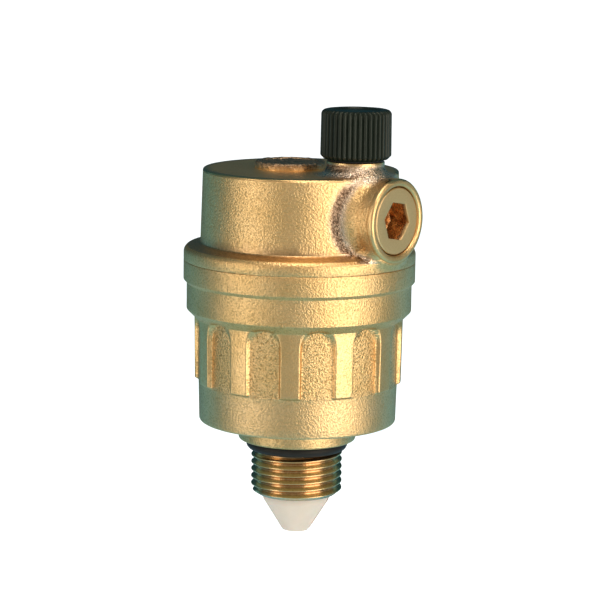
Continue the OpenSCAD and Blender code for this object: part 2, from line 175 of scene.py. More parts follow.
def rounded(corners, closed=True, steps=5):
    """An outline from (r, z, corner radius) points, with its corners as arcs."""
    out = []
    count = len(corners)
    for i, (r, z, radius) in enumerate(corners):
        here = np.array([r, z], float)
        last = not closed and i in (0, count - 1)
        if radius <= 0 or last:
            out.append(here)
            continue
        a = np.array(corners[i - 1][:2], float) - here
        b = np.array(corners[(i + 1) % count][:2], float) - here
        la, lb = np.linalg.norm(a), np.linalg.norm(b)
        a, b = a / la, b / lb
        half = math.acos(np.clip(a @ b, -1, 1)) / 2
        reach = min(radius / math.tan(half), 0.49 * la, 0.49 * lb)
        radius = reach * math.tan(half)
        middle = a + b
        centre = here + middle / np.linalg.norm(middle) * radius / math.sin(half)
        start, end = here + a * reach - centre, here + b * reach - centre
        sweep = math.atan2(start[0] * end[1] - start[1] * end[0], start @ end)
        for k in range(steps + 1):
            t = sweep * k / steps
            c, s = math.cos(t), math.sin(t)
            out.append(centre + np.array([start[0] * c - start[1] * s,
                                          start[0] * s + start[1] * c]))
    return np.array(out)


def profile(corners, longest, steps=5):
    """An open outline with rounded corners, and points added so that no side is longer
    than longest, which is a length or a function of the place."""
    outline = rounded(corners, closed=False, steps=steps)
    out = []
    for a, b in zip(outline, outline[1:]):
        limit = longest((a + b) / 2) if callable(longest) else longest
        parts = max(1, math.ceil(np.linalg.norm(b - a) / limit))
        out += [a + (b - a) * k / parts for k in range(parts)]
    return np.array(out + [outline[-1]])


def grid_faces(rows, cols, close_rows):
    """Quads of a grid whose columns close on themselves."""
    i = np.arange(rows if close_rows else rows - 1)[:, None]
    j = np.arange(cols)[None, :]
    below, above = i * cols, (i + 1) % rows * cols
    nxt = (j + 1) % cols
    return np.stack([below + j, below + nxt, above + nxt, above + j], -1).reshape(-1, 4)


def turned(outline, angles, radius_at=None, close_rows=True):
    """Points and quads of an outline turned about Z, with the radius changed by
    radius_at(angle, r, z) if given. The outline runs counter-clockwise."""
    r, z = outline[:, 0][:, None], outline[:, 1][:, None]
    a = np.asarray(angles)[None, :]
    radius = radius_at(a, r, z) if radius_at else r + 0 * a
    points = np.stack([radius * np.cos(a), radius * np.sin(a), z + 0 * a], -1)
    return points.reshape(-1, 3), grid_faces(len(outline), a.shape[1], close_rows)


def turned_solid(outline, angles, radius_at=None):
    """As turned, for an open outline whose two ends lie on the axis."""
    points, faces = turned(outline[1:-1], angles, radius_at, close_rows=False)
    cols, count = len(angles), len(points)
    points = np.vstack([points, [0, 0, outline[0][1]], [0, 0, outline[-1][1]]])
    j = np.arange(cols)
    nxt = (j + 1) % cols
    last = count - cols
    low = np.stack([nxt, j, np.full(cols, count)], -1)
    high = np.stack([last + j, last + nxt, np.full(cols, count + 1)], -1)
    return points, [faces, low, high]


def even_angles(count):
    return np.arange(count) * FULL_TURN / count


def along_x(points, z):
    """Points turned about Z, moved to turn about the side boss's axis instead."""
    return np.stack([points[:, 2], points[:, 1], z - points[:, 0]], -1)


def loose(name, points, faces):
    """A mesh object from millimetre points and one or more arrays of faces."""
    groups = faces if isinstance(faces, list) else [faces]
    mesh = bpy.data.meshes.new(name)
    mesh.from_pydata((points * MM).tolist(), [], [f for g in groups for f in g.tolist()])
    made = bpy.data.objects.new(name, mesh)
    bpy.context.scene.collection.objects.link(made)
    return made


def shade_smooth(mesh, sharp_degrees=None):
    mesh.polygons.foreach_set("use_smooth", np.ones(len(mesh.polygons), bool))
    if sharp_degrees:
        mesh.set_sharp_from_angle(angle=math.radians(sharp_degrees))


def make_piece(name, points, faces, body, replaces, finish=None):
    """A shown piece that rides on a body in the place of one CAD node."""
    piece = loose(name, points, faces)
    piece.data.validate()
    shade_smooth(piece.data)
    if finish is not None:
        add_finish(piece.data, finish(points))
    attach(piece, body)
    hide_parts(replaces)
    return piece


def add_finish(mesh, values):
    """Stores three numbers at each point, which the piece's shader reads."""
    layer = mesh.attributes.new("finish", "FLOAT_VECTOR", "POINT")
    layer.data.foreach_set("vector", values.astype(np.float32).ravel())


# ------------ distance fields

def round_union(a, b, radius):
    """Two solids joined with a fillet."""
    u, v = np.maximum(radius - a, 0), np.maximum(radius - b, 0)
    return np.maximum(radius, np.minimum(a, b)) - np.sqrt(u * u + v * v)


def outline_distance(outline, r, z):
    """Signed distance from (r, z) to a closed outline, negative inside."""
    best = np.full(np.broadcast(r, z).shape, np.inf)
    inside = np.zeros(best.shape, bool)
    for (ar, az), (br, bz) in zip(outline, np.roll(outline, -1, axis=0)):
        er, ez = br - ar, bz - az
        if er * er + ez * ez < 1e-12:
            continue
        t = np.clip(((r - ar) * er + (z - az) * ez) / (er * er + ez * ez), 0, 1)
        best = np.minimum(best, (r - ar - t * er) ** 2 + (z - az - t * ez) ** 2)
        if abs(ez) > 1e-12:
            crosses = (z >= min(az, bz)) & (z < max(az, bz))
            inside ^= crosses & (r < ar + (z - az) * er / ez)
    return np.where(inside, -1, 1) * np.sqrt(best)


def rod_distance(away, along, radius, low, high, edge):
    """Signed distance to a round bar, given the distance from and along its axis."""
    q = away - radius + edge
    p = np.abs(along - (low + high) / 2) - (high - low) / 2 + edge
    outside = np.sqrt(np.maximum(q, 0) ** 2 + np.maximum(p, 0) ** 2)
    return np.minimum(np.maximum(q, p), 0) + outside - edge


def surface_net(distance, radii, angles, heights):
    """Points and quads of the surface where a distance field is nought, on a grid
    round the Z axis. The field takes x, y and z arrays in millimetres."""
    def place(i, j, k):
        a = angles[j % len(angles)]
        return np.stack([radii[i] * np.cos(a), radii[i] * np.sin(a), heights[k]], -1)

    shape = (len(radii), len(angles), len(heights))
    i, j, k = np.indices(shape, sparse=True)
    values = distance(radii[i] * np.cos(angles[j]), radii[i] * np.sin(angles[j]),
                      heights[k] + 0 * j)
    cells, crossings, quads = [], [], []
    for axis in range(3):
        step = [0, 0, 0]
        step[axis] = 1
        after = np.roll(values, -1, axis)
        crossed = (values < 0) != (after < 0)
        if axis != 1:
            crossed[(slice(None),) * axis + (-1,)] = False
        at = np.argwhere(crossed)
        a, b = values[crossed], after[crossed]
        t = (a / (a - b))[:, None]
        crossings.append((1 - t) * place(*at.T) + t * place(*(at + step).T))
        u, v = (axis + 1) % 3, (axis + 2) % 3
        around = np.repeat(at[:, None, :], 4, axis=1)
        around[:, (0, 3), u] -= 1
        around[:, (0, 1), v] -= 1
        around[a >= 0] = around[a >= 0][:, ::-1]
        cells.append(around)
    cells, crossings = np.concatenate(cells), np.concatenate(crossings)
    cells[..., 1] %= shape[1]
    whole = ((cells >= 0).all(-1) & (cells[..., 0] < shape[0] - 1)
             & (cells[..., 2] < shape[2] - 1))
    code = (cells[..., 0] * shape[1] + cells[..., 1]) * shape[2] + cells[..., 2]
    code = np.where(whole, code, -1)
    names, where = np.unique(code, return_inverse=True)
    where = where.reshape(code.shape)
    weight = np.bincount(where.ravel(), minlength=len(names))
    points = np.stack([np.bincount(where.ravel(), np.repeat(crossings[:, c], 4), len(names))
                       for c in range(3)], -1) / weight[:, None]
    quads = where[whole.all(1)]
    fans = []
    for level in range(shape[2] - 1):
        # closes the ring of cells round the axis at each level that the surface crosses
        innermost = np.arange(shape[1]) * shape[2] + level
        ring = np.searchsorted(names, innermost)
        ring = ring[ring < len(names)]
        if len(ring) == shape[1] and (names[ring] == innermost).all():
            centre = points[ring].mean(0)
            up = distance(*(centre + [0, 0, 0.05])[:, None]) > 0
            nxt = np.roll(ring, -1)
            pair = (ring, nxt) if up[0] else (nxt, ring)
            fans.append(np.stack([*pair, np.full(len(ring), len(points))], -1))
            points = np.vstack([points, centre])
    if names[0] == -1:
        points, quads = points[1:], quads - 1
        fans = [f - 1 for f in fans]
    return points, [quads, *fans]


def gradient(distance, points):
    step = 0.004
    shifts = step * np.eye(3)
    return np.stack([distance(*(points + shift).T) - distance(*(points - shift).T)
                     for shift in shifts], -1) / (2 * step)


def settle(distance, points):
    """Moves points onto the surface where the distance field is nought."""
    rounds, reach = 3, 0.12
    for _ in range(rounds):
        slope = gradient(distance, points)
        size = np.maximum((slope ** 2).sum(-1), 0.05)
        move = slope * (distance(*points.T) / size)[:, None]
        length = np.maximum(np.linalg.norm(move, axis=-1), 1e-9)
        points = points - move * np.minimum(1, reach / length)[:, None]
    return points


def apply_modifiers(piece):
    bpy.context.view_layer.update()
    shape = piece.evaluated_get(bpy.context.evaluated_depsgraph_get())
    mesh = bpy.data.meshes.new_from_object(shape)
    piece.modifiers.clear()
    piece.data = mesh


def joined(piece, *others, mode="UNION"):
    """Joins or cuts closed meshes, and removes the others."""
    for other in others:
        change = piece.modifiers.new("join", "BOOLEAN")
        change.operation = mode
        change.solver = "MANIFOLD"
        change.object = other
    apply_modifiers(piece)
    for other in others:
        bpy.data.objects.remove(other)
    return piece


# ------------ threads

# the grid's rows in one pitch, from crest to crest
PITCH_MARKS = np.array([0, 0.045, 0.085, 0.12, 0.38, 0.44, 0.5, 0.56, 0.62, 0.88, 0.915, 0.955])
FLANK = math.radians(27.5)
ROUNDING = 0.10  # radius of crests and roots, in pitches


def thread_inset(depth):
    """How far each row lies inside the crest, on 55 degree flanks with rounded ends."""
    def arc(away):
        return ROUNDING - np.sqrt(np.maximum(ROUNDING ** 2 - away ** 2, 0))

    away = np.minimum(PITCH_MARKS, 1 - PITCH_MARKS)
    end = ROUNDING * math.cos(FLANK)
    end_inset = ROUNDING * (1 - math.sin(FLANK))
    half = np.where(away < end, arc(away), end_inset + (away - end) / math.tan(FLANK))
    whole = 2 * end_inset + (0.5 - 2 * end) / math.tan(FLANK)
    return depth * np.where(0.5 - away < end, whole - arc(0.5 - away), half) / whole


def weld(points, faces):
    """Merges points that coincide, and drops what collapses."""
    keys = np.round(points / 1e-5).astype(np.int64)
    _, first, where = np.unique(keys, axis=0, return_index=True, return_inverse=True)
    faces = where.reshape(-1)[faces]
    same = faces == np.roll(faces, -1, axis=1)
    folded = same.sum(1)
    groups = [faces[folded == 0]]
    for side in range(4):
        groups.append(np.delete(faces[(folded == 1) & same[:, side]], side, axis=1))
    return points[first], groups


def screw_turned(plain, angles, radius_at, low, high, limit, crest, depth, pitch, start=0.0):
    """The plain outline turned about Z, with a right-hand thread from its last point,
    at the height low, to its first, at high. The rows of the grid follow the thread,
    so its edges are clean. limit(z) is the largest radius at a height."""
    swept = np.asarray(angles) - angles[0]
    start += pitch * angles[0] / FULL_TURN
    first = math.floor((low - start) / pitch) - 1
    turns = np.arange(first, math.ceil((high - start) / pitch) + 1)
    marks = ((turns[:, None] + PITCH_MARKS) * pitch + start).ravel()
    inset = np.tile(thread_inset(depth), len(turns))
    z = np.clip(marks[:, None] + pitch * swept[None, :] / FULL_TURN, low, high)
    r = np.minimum(crest - inset[:, None], limit(z))
    thread = np.stack([r * np.cos(angles), r * np.sin(angles), z], -1).reshape(-1, 3)
    points, _ = turned(plain, angles, radius_at)
    rows, cols = np.arange(len(plain) + len(marks)), len(angles)
    # past the last column, the thread's rows have climbed by one pitch
    climbed = np.minimum(rows + len(PITCH_MARKS), rows[-1])
    climbed = np.where(rows < len(plain), rows, climbed)
    index = rows[:, None] * cols + np.arange(cols)[None, :]
    index = np.hstack([index, index[climbed, :1]])
    above = np.roll(index, -1, axis=0)
    faces = np.stack([index[:, :-1], index[:, 1:], above[:, 1:], above[:, :-1]], -1)
    return weld(np.vstack([points, thread]), faces.reshape(-1, 4))


# ------------ body

def pocket_depth(angle, z):
    """1 on the floor of an arched pocket, 0 outside it, with sloping walls."""
    pitch = FULL_TURN / POCKETS
    turn = (angle - POCKET_TURN) / pitch
    x = (turn - np.round(turn)) * pitch * STRIP_R
    up = np.maximum(z - (POCKET_TOP_Z - POCKET_HALF_W), 0)
    return smooth((POCKET_HALF_W - np.sqrt(x * x + up * up)) / POCKET_WALL)


def body_radius(angle, r, z):
    """The body's radius, with the pockets sunk in and the cast faces uneven."""
    outside = r > CHAMBER_R + 0.2
    pocket = np.where(outside & (z > STRIP_Z) & (z < POCKET_TOP_Z + 0.1),
                      pocket_depth(angle, z), 0)
    radius = r - (r - LOWER_R) * pocket
    points = np.stack(np.broadcast_arrays(r * np.cos(angle), r * np.sin(angle), z), -1)
    radius = radius + pocket * (0.022 * noise(points, 0.62, 3) + 0.02 * noise(points, 1.7, 4))
    blasted = outside & (r < BAND_R + 0.3)
    return radius + np.where(blasted, 0.006 * noise(points, 0.8, 5), 0)


def body_outline():
    """The body's outline from the top of the inlet thread round to the spigot's tip."""
    corners = [
        (NECK_R, THREAD_TOP, 0),
        (NECK_R, COLLAR_Z + 0.15, 0.1),
        (RING_SEAT_R, COLLAR_Z + 0.15, 0.03),
        (RING_SEAT_R, COLLAR_Z, 0.03),
        (COLLAR_R, COLLAR_Z, 0.28),
        (COLLAR_R, BOTTOM_Z, 0.35),
        (BOTTOM_R, BOTTOM_Z, 0.4),
        (LOWER_R, STRIP_Z, 0.15),
        (STRIP_R - 0.15, STRIP_Z + 0.4, 0.12),
        (STRIP_R, STRIP_TOP_Z, 0.3),
        (BAND_R, BAND_Z, 0.22),
        (BAND_R, BAND_TOP_Z, 0.12),
        (FLANGE_R, BAND_TOP_Z + 0.6, 0.16),
        (FLANGE_R, SEAM_Z, 0.14),
        (SEAL_BORE_R, SEAM_Z, 0.05),
        (SEAL_BORE_R, SEAL_BORE_Z, 0.05),
        (SKIRT_BORE_R, SEAL_BORE_Z, 0.05),
        (SKIRT_BORE_R, SKIRT_BORE_Z, 0.1),
        (CHAMBER_R, SKIRT_BORE_Z, 0.1),
        (CHAMBER_R, FLOOR_Z, 1.2),
        (BORE_R, FLOOR_Z, 0.3),
        (BORE_R, SPIGOT_Z + 0.35, 0.1),
        (BORE_R + 0.35, SPIGOT_Z, 0.1),
        (SPIGOT_TIP_R, SPIGOT_Z, 0)]

    def longest(at):
        r, z = at
        if r < CHAMBER_R + 0.5 and z > BOTTOM_Z or r < BORE_R + 0.25:
            return 4.0
        if r > CHAMBER_R and STRIP_Z < z < STRIP_Z + 0.6:
            return 0.2
        if r > LOWER_R + 0.4 and POCKET_TOP_Z - 4.2 < z < POCKET_TOP_Z + 0.4:
            return 0.17
        if r > LOWER_R + 0.4 and z < POCKET_TOP_Z:
            return 0.6
        return 1.5

    return profile(corners, longest, steps=4)


def spigot_limit(z):
    """The chamfer at the spigot's tip and the run-out of its thread at the neck."""
    return np.interp(
        z, [SPIGOT_Z, SPIGOT_Z + SPIGOT_CHAMFER, THREAD_TOP - THREAD_RUN_OUT, THREAD_TOP],
        [SPIGOT_TIP_R, THREAD_CREST_R, THREAD_CREST_R, NECK_R])


def pocket_columns():
    """Angles that crowd at the pockets' sides."""
    # degrees from the middle of a pocket, whose side is about 10 degrees out
    half = [0, 1.8, 3.5, 5.0, 6.4, 7.4, 8.1, 8.5, 8.8, 9.1, 9.4, 9.7, 10.0, 10.6, 12.4]
    pitch = 360 / POCKETS
    sector = sorted([-a for a in half[1:]] + half + [pitch / 2])
    return np.array([POCKET_TURN + math.radians(pitch * i + a)
                     for i in range(POCKETS) for a in sector])


# the finish of the brass: grain from 0 on turned faces to 1 where it is roughest
GRAIN = 0.6
GRAIN_ON_STRIPS = 0.4
GRAIN_ON_RIM = 0.3
GRAIN_ON_SHOULDER = 0.08
GRAIN_ON_TOP = 0.25
SHADED_SIDE_TURN = math.radians(39.2)  # from -X to the side of the nipple that gets painted shade


def body_finish(points):
    """Grain, strongest in the pockets and none on turned faces, then the share of paler brass,
    which on the lower band is a painted reflection, then a darker tone on the thread that deepens
    into painted shade in its roots."""
    r, z = np.hypot(points[:, 0], points[:, 1]), points[:, 2]
    angle = np.arctan2(points[:, 1], points[:, 0])
    pocket = pocket_depth(angle, z) * ((z > STRIP_Z) & (z < POCKET_TOP_Z))
    strip = (r > LOWER_R + 0.5) & (z > STRIP_Z) & (z < STRIP_TOP_Z)
    turned_face = (z < THREAD_TOP + 0.15) | (r < NECK_R + 0.1)
    grain = np.where(turned_face, 0, np.where(strip, GRAIN_ON_STRIPS, GRAIN))
    root = np.clip((THREAD_CREST_R - 0.1 - r) / (THREAD_DEPTH - 0.3), 0, 1)
    thread = (z < THREAD_TOP) & (r > BORE_R + 0.5)
    # painted shade: the thread is darkened a little all over and more the deeper into its roots
    tarnish_and_shade = np.where(thread, 0.03 + 0.38 * root, 0)
    # painted reflection: the lower band is paled towards the copper tone as if it caught pale
    # light from below
    low_band_reflection = smooth((STRIP_Z + 2 - z) / 3) * (r > COLLAR_R)
    pale = np.where(thread, 0.10, 0.07 * low_band_reflection)
    return np.stack([np.maximum(grain, pocket), pale, tarnish_and_shade], -1)


def build_body():
    points, faces = screw_turned(
        body_outline(), pocket_columns(), body_radius, SPIGOT_Z, THREAD_TOP, spigot_limit,
        THREAD_CREST_R, THREAD_DEPTH, THREAD_PITCH, THREAD_START)
    make_piece("housing_body", points, faces, "housing", "body", body_finish)


# ------------ cover

SHELL = rounded([
    (-1, CEILING_Z, 0),
    (CEILING_R, CEILING_Z, 0.8),
    (CHAMBER_R, SKIRT_Z, 0.2),
    (SKIRT_R, SKIRT_Z, 0.35),
    (SKIRT_R, SEAM_Z, 0),
    (FLANGE_R, SEAM_Z, 0.14),
    (FLANGE_R, COVER_FLANGE_Z, 1.3),
    (COVER_FOOT_R, COVER_FOOT_Z, 0.35),
    (COVER_TOP_R, COVER_TOP_Z, 0.35),
    (-1, COVER_TOP_Z, 0)], steps=6)


def cast_lumps(points):
    return 0.55 * noise(points, 0.7, 11) + 0.45 * noise(points, 1.8, 12)


def cover_parts(x, y, z, shell=None):
    """The distance fields of the cover's shell, side boss and nipple."""
    r = np.sqrt(x * x + y * y)
    if shell is None:
        shell = outline_distance(SHELL, r, z)
    from_x = np.sqrt(y * y + (z - BOSS_Z) ** 2)
    boss = rod_distance(from_x, x, BOSS_R - 0.05, BOSS_INNER_X, BOSS_X - 0.75, 0.25)
    inner = rod_distance(from_x, x, BOSS_INNER_R, BOSS_INNER_X, COVER_FOOT_R, 0.3)
    boss = np.where(r < COVER_TOP_R - 1.2, inner, boss)
    from_nipple = np.sqrt((x - NIPPLE_X) ** 2 + y * y)
    nipple = rod_distance(from_nipple, z, NIPPLE_R - 0.08, BOSS_Z, SHOULDER_Z - 0.5, 0.2)
    return shell, boss, nipple, from_x, from_nipple


def cover_distance(x, y, z, shell=None):
    shell, boss, nipple, from_x, _ = cover_parts(x, y, z, shell)
    solid = round_union(shell, boss, 2.4)
    solid = round_union(solid, nipple, 1.9)
    bore = rod_distance(from_x, x, MOUTH_R + 0.2, MOUTH_X - 0.1, BOSS_X + 5, 0.05)
    deep = rod_distance(from_x, x, PLUG_BORE_R, PLUG_BORE_X, BOSS_X + 5, 0.05)
    solid = np.maximum(solid, -np.minimum(bore, deep))
    # nothing is added below the joint with the body
    return np.where(z < SEAM_Z + 0.1, shell, solid)


def junction(x, y, z):
    """1 in the rough fillets round the boss and the nipple, 0 elsewhere."""
    shell, boss, nipple, from_x, from_nipple = cover_parts(x, y, z)
    near_boss = smooth(1 - (np.abs(boss) + np.abs(shell)) / 3.6)
    near_nipple = smooth(1 - (np.abs(nipple) + np.minimum(np.abs(shell), np.abs(boss))) / 3.4)
    outside = np.sqrt(x * x + y * y) > 6
    return np.maximum(near_boss, near_nipple) * (z > COVER_FLANGE_Z - 0.4) * outside


def cover_grid():
    """Grid lines, crowded where the boss and the nipple stand."""
    fine = 0.165
    radii = np.concatenate([[0, 1.2, 2.4, 3.6, 4.8, 6.0], np.arange(6.8, 14.2, 0.3),
                            np.arange(14.25, 22.9, fine)])
    near = np.radians(np.arange(-52, 52, 0.46))
    far = np.radians(np.arange(52, 308, 1.6))
    heights = np.concatenate([np.arange(SKIRT_Z - 0.3, SEAM_Z - 0.4, 0.45),
                              np.arange(SEAM_Z - 0.22, SHOULDER_Z + 0.2, fine)])
    return radii, np.concatenate([near, far]), heights


def cover_finish(points):
    """Grain, the share of pale copper-coloured surface, which is brazing and, near the top, a
    painted highlight, then tarnish and painted shade.
    """
    x, y, z = points.T
    r = np.hypot(x, y)
    from_x = np.sqrt(y * y + (z - BOSS_Z) ** 2)
    from_nipple = np.hypot(x - NIPPLE_X, y)
    rough = junction(x, y, z)
    rim = (x > BOSS_X - 1.25) & (from_x < BOSS_R + 0.1)
    shoulder = (z > SHOULDER_Z - 0.6) & (from_nipple < NIPPLE_R + 0.1)
    machined = rim | shoulder
    pad = (z > COVER_TOP_Z + 0.15) & (np.hypot(x - PAD_X, y) < PAD_R + 0.2)
    top = np.abs(z - COVER_TOP_Z) < 0.02
    ledge = (z > COVER_FLANGE_Z + 0.1) & (z < COVER_FOOT_Z + 0.35) & (r > COVER_TOP_R - 0.05)
    edge = (z > COVER_TOP_Z - 0.45) & (z < COVER_TOP_Z + 0.02) & (r > COVER_TOP_R - 0.4)
    grain = np.select([rim, shoulder, pad, top | ledge],
                      [GRAIN_ON_RIM, GRAIN_ON_SHOULDER, 1, GRAIN_ON_TOP], GRAIN + 0.3 * rough)
    grain = np.where(edge & (rough < 0.1), 0.02, grain)

    # near the top, the pale copper share paints the highlight on the fillets round the nipple and
    # the boss
    near_top = smooth((z - COVER_TOP_Z + 1.8) / 1.5)
    beyond_boss = smooth((from_x - BOSS_R - 0.3) / 0.9)
    brazed_and_highlight = np.select([machined, pad], [0, 0.25], rough * np.maximum(near_top, beyond_boss))

    # a band some way out from the boss is darker, and painted shade darkens the nipple's collar
    # on its side away from the light
    band = smooth(1.25 - np.abs(from_x - BOSS_R - 1.8) / 1.1) * (1 - near_top)
    away = (NIPPLE_X - x) * math.cos(SHADED_SIDE_TURN) - y * math.sin(SHADED_SIDE_TURN)
    # painted shade on one side of the nipple's collar
    collar = smooth((z - COVER_TOP_Z - 0.3) / 0.8) * smooth((away + 1) / 4) * (from_nipple > 3)
    band_and_shade = np.maximum(band * (x < BOSS_X - 2), collar) * np.minimum(rough * 3, 1)
    # painted shade darkens the ledge under the cover's foot; the pad's darker tone is its own
    tarnish_and_shade = np.select([machined, pad, ledge & (rough < 0.5)], [0, 0.8, 0.5], band_and_shade)
    return np.stack([grain, brazed_and_highlight, tarnish_and_shade], -1)


def boss_rim():
    """The turned rim of the side boss."""
    root_r, root_x = 7.05, MOUTH_X - 0.8
    outline = rounded([
        (root_r, root_x, 0),
        (root_r, BOSS_X - 1.7, 0),
        (BOSS_R, BOSS_X - 1.2, 0.5),
        (BOSS_R, BOSS_X, 0.7),
        (MOUTH_R, BOSS_X, 0.62),
        (MOUTH_R, root_x, 0)], steps=8)
    points, faces = turned(outline[::-1], even_angles(180))
    return loose("boss_rim", along_x(points, BOSS_Z), faces[:, ::-1])


def nipple_top():
    """The turned shoulder of the nipple and the thread that the cap runs on."""
    crest, depth, pitch = OUTLET_R, 0.5, 1.0
    low = SHOULDER_Z + 0.75
    root_z = SHOULDER_Z - 4
    outline = profile([
        (crest - depth, OUTLET_Z, 0),
        (OUTLET_BORE_R + 0.3, OUTLET_Z, 0.05),
        (OUTLET_BORE_R, OUTLET_Z - 0.3, 0.05),
        (OUTLET_BORE_R, root_z, 0),
        (NIPPLE_ROOT_R, root_z, 0),
        (NIPPLE_ROOT_R, SHOULDER_Z - 0.95, 0),
        (NIPPLE_R, SHOULDER_Z - 0.75, 0.12),
        (NIPPLE_R, SHOULDER_Z, 0.16),
        (crest - depth, SHOULDER_Z, 0.1),
        (crest - depth, low, 0)], 1.5)

    def limit(z):
        return np.interp(z, [low, low + 0.5, OUTLET_Z - 0.5, OUTLET_Z],
                         [crest - depth, crest, crest, crest - depth])

    points, faces = screw_turned(outline, even_angles(96), None, low, OUTLET_Z, limit,
                                 crest, depth, pitch)
    return loose("nipple_top", points + [NIPPLE_X, 0, 0], faces)


def top_pad():
    """The rough cast pad on the cover's top."""
    low, high = COVER_TOP_Z - 1.0, PAD_Z - 0.2
    outline = profile([(0, low, 0), (PAD_R - 0.05, low, 0), (PAD_R - 0.15, high, 0.3),
                       (PAD_R - 1.1, high, 0.1), (PAD_R - 1.3, high - 0.25, 0.1),
                       (0, high - 0.15, 0)],
                      lambda at: 0.22 if at[1] > COVER_TOP_Z else 2.0, steps=4)
    points, faces = turned_solid(outline, even_angles(210))
    x, y, z = points.T
    lumps = 0.6 * noise(points, 0.55, 21) + 0.4 * noise(points, 1.5, 22)
    raised = smooth((z - COVER_TOP_Z) / 0.4)
    side = smooth((np.hypot(x, y) - PAD_R + 0.8) / 0.6)
    away = np.hypot(x, y) + 1e-6
    push = LUMP_HEIGHT * side * raised * lumps
    points = points + np.stack([x / away * push, y / away * push, 0.17 * raised * lumps], -1)
    points[:, 2] = np.minimum(points[:, 2], PAD_Z)
    return loose("top_pad", points + [PAD_X, 0, 0], faces)


def rod_tool(radius, low, high, along_boss=False):
    """A round bar that cuts a bore along the nipple's axis, or along the boss's."""
    outline = np.array([(0, low), (radius, low), (radius, high), (0, high)], float)
    points, faces = turned_solid(outline, even_angles(64))
    points = along_x(points, BOSS_Z) if along_boss else points + [NIPPLE_X, 0, 0]
    return loose("tool", points, faces)


def build_cover():
    radii, angles, heights = cover_grid()
    flat_r, flat_z = np.meshgrid(radii, heights, indexing="ij")
    shell_field = outline_distance(SHELL, flat_r, flat_z)[:, None, :]

    def field(x, y, z):
        return cover_distance(x, y, z, shell_field if x.ndim == 3 else None)

    points, faces = surface_net(field, radii, angles, heights)
    points = settle(cover_distance, points)
    x, y, z = points.T
    outward = gradient(cover_distance, points)
    outward /= np.maximum(np.linalg.norm(outward, axis=-1, keepdims=True), 1e-6)
    lumps = junction(x, y, z)[:, None] * cast_lumps(points)[:, None]
    points = points + outward * (LUMP_HEIGHT * lumps)
    piece = make_piece("housing_cover", points, faces, "housing", "cover")
    # the fine grid is thinned before the turned parts join it
    thin = piece.modifiers.new("thin", "DECIMATE")
    thin.ratio = 0.42
    apply_modifiers(piece)
    joined(piece, boss_rim(), nipple_top(), top_pad())
    bores = [rod_tool(SEAT_BORE_R, SEAT_BORE_X, PLUG_BORE_X + 0.5, along_boss=True),
             rod_tool(OUTLET_BORE_R, BOSS_Z, SHOULDER_Z - 3.5)]
    joined(piece, *bores, mode="DIFFERENCE")
    mesh = piece.data
    co = np.zeros(len(mesh.vertices) * 3, np.float32)
    mesh.vertices.foreach_get("co", co)
    add_finish(mesh, cover_finish(co.reshape(-1, 3) / MM))
    shade_smooth(mesh, 38)


# ------------ plug and seals

HEX_FLATS_R = 3.175  # half of the width across flats
HEX_TURN = math.radians(20)
HEX_DEPTH = 4.2
PLUG_R = 5.58
PLUG_HEAD_R = MOUTH_R - 0.18
PLUG_GROOVE_R = 5.05
PLUG_GROOVE_PLAY = 0.05  # the groove is this much wider than its ring
WASHER_R = 5.0
WASHER_BORE_R = 4.05


def hexagon_radius(angle):
    corner = (angle - HEX_TURN) % (FULL_TURN / 6)
    return HEX_FLATS_R / np.cos(corner - FULL_TURN / 12)


def plug_radius(angle, r, z):
    """The rows near the axis follow the hexagon of the socket."""
    in_socket = (r < HEX_FLATS_R + 0.2) & (z > plug_low[0] + 0.5)
    return np.where(in_socket, hexagon_radius(angle) * r / HEX_FLATS_R, r)


def build_plug():
    back, face = plug_low[0], plug_high[0]
    depth = face - HEX_DEPTH
    groove_low = plug_ring_low[0] - PLUG_GROOVE_PLAY
    groove_high = plug_ring_high[0] + PLUG_GROOVE_PLAY
    outline = profile([
        (0, back, 0),
        (PLUG_R - 0.35, back, 0.05),
        (PLUG_R, back + 0.35, 0.05),
        (PLUG_R, groove_low, 0.05),
        (PLUG_GROOVE_R, groove_low, 0.05),
        (PLUG_GROOVE_R, groove_high, 0.05),
        (PLUG_HEAD_R, groove_high, 0.05),
        (PLUG_HEAD_R, face - 0.15, 0.08),
        (PLUG_HEAD_R - 0.15, face, 0.08),
        (4.2, face, 0),
        (HEX_FLATS_R, face, 0.04),
        (HEX_FLATS_R, depth, 0.1),
        (0, depth - 0.5, 0)], 1.0, steps=4)
    points, faces = turned_solid(outline, HEX_TURN + even_angles(180), plug_radius)

    def finish(at):
        from_x = np.hypot(at[:, 1], at[:, 2] - BOSS_Z)
        # the socket share is darkened by painted shade in the material
        socket = (from_x < HEX_FLATS_R + 0.6) & (at[:, 0] < face - 0.05) & (at[:, 0] > back + 0.5)
        return np.stack([socket, 0 * from_x, 0 * from_x], -1)

    piece = make_piece("boss_plug", along_x(points, BOSS_Z), faces, "housing",
                       "side_plug", finish)
    shade_smooth(piece.data, 32)


def ring_points(middle_r, section_r, z, columns, rows):
    """A moulded ring: round in section, with a fine flash line."""
    a = even_angles(rows)
    flash = 0.02 * np.exp(-(np.sin(a) / 0.12) ** 2)
    outline = np.stack([middle_r + (section_r + flash) * np.cos(a),
                        z + section_r * np.sin(a)], -1)
    return turned(outline, even_angles(columns))


